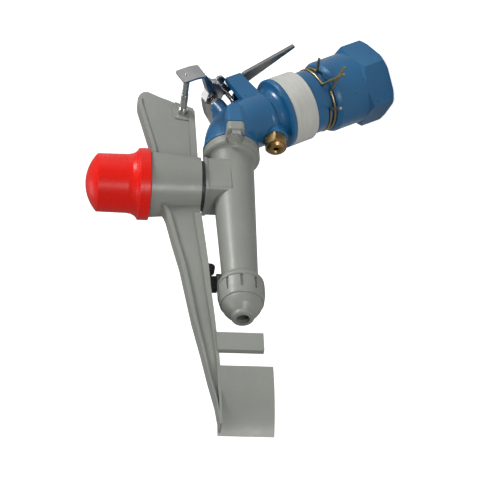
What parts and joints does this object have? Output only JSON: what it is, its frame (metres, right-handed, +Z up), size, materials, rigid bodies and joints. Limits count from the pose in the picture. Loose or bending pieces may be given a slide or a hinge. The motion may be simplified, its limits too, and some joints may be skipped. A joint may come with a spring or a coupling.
{
  "type": "impulse sprinkler",
  "caption": "Part-circle impulse sprinkler: threaded inlet sleeve, swivelling elbow, inclined barrel, spring-returned spoon arm, reversing cam, trip lever and limit rings.",
  "frame": {"origin": "centre of the inlet's open end, on the swivel axis", "axes": "+Z up the swivel axis, the barrel points towards +X and up, the trip side's hook plate is on +Y"},
  "size_m": [0.3339, 0.0878, 0.3038],
  "materials": {
    "blue_paint": "gloss paint on cast aluminium",
    "grey_paint": "satin grey paint on cast aluminium",
    "nylon": "moulded",
    "ptfe": "turned",
    "black_rubber": "moulded",
    "stainless": "bright stainless",
    "brass": "turned",
    "white_plastic": "moulded, satin",
    "zinc_steel": "zinc plated",
    "black_plastic": "moulded",
    "black_steel": "black oxide",
    "red_plastic": "moulded, glossy",
    "bright_steel": "polished",
    "zinc_wire": "yellow zinc"
  },
  "bodies": {
    "base": {"inlet_sleeve": "blue_paint", "shaft_bush": "nylon", "friction_washer": "ptfe", "seal_washers": "black_rubber", "anti_sand_spring": "stainless"},
    "head": {"hollow_shaft": "brass", "dust_cover": "white_plastic", "elbow_body": "blue_paint", "flange_gasket": "black_rubber", "barrel": "grey_paint", "flange_bolts": "zinc_steel", "flow_straightener": "black_plastic", "arm_stop_rubber": "black_rubber", "nozzle_seal": "black_rubber", "nozzle": "grey_paint", "nozzle_cap": "grey_paint", "arm_shaft": "stainless", "thrust_washer": "black_plastic", "spring_seat": "stainless", "spring_seat_nut": "stainless", "brass_side_nozzle": "brass", "pivot_bolt": "zinc_steel", "pivot_lock_nut": "zinc_steel", "toggle_spring": "black_steel"},
    "arm": {"arm": "grey_paint", "arm_bushes": "nylon", "red_cap": "red_plastic", "hook_pin": "zinc_steel", "hook_collar": "bright_steel", "hook_plate": "stainless", "arm_spring": "stainless"},
    "reverser": {"reversing_cam": "bright_steel", "trip_lever": "stainless", "spring_pin": "stainless"},
    "limit_upper": {"limit_ring_upper": "zinc_wire"},
    "limit_lower": {"limit_ring_lower": "zinc_wire"}
  },
  "joints": [
    {"name": "head_swivel", "type": "hinge", "parent": "base", "child": "head", "pos_m": [0, 0, 0], "axis": [0, 0, 1], "continuous": true},
    {"name": "arm_swing", "type": "hinge", "parent": "head", "child": "arm", "pos_m": [0.02618, 0, 0.22404], "axis": [-0.4802, 0, 0.8771], "range_deg": [0, 45], "stiffness_Nm_per_rad": 0.3, "springref_deg": -68.75, "deforming": ["arm_spring"]},
    {"name": "reverser_flip", "type": "hinge", "parent": "head", "child": "reverser", "pos_m": [-0.038, 0, 0.1353], "axis": [1, 0, 0], "range_deg": [-26, 0], "deforming": ["toggle_spring"]},
    {"name": "limit_upper_turn", "type": "hinge", "parent": "base", "child": "limit_upper", "pos_m": [0, 0, 0.0595], "axis": [0, 0, 1], "range_deg": [-120, 0]},
    {"name": "limit_lower_turn", "type": "hinge", "parent": "base", "child": "limit_lower", "pos_m": [0, 0, 0.0552], "axis": [0, 0, 1], "range_deg": [0, 45]}
  ]
}
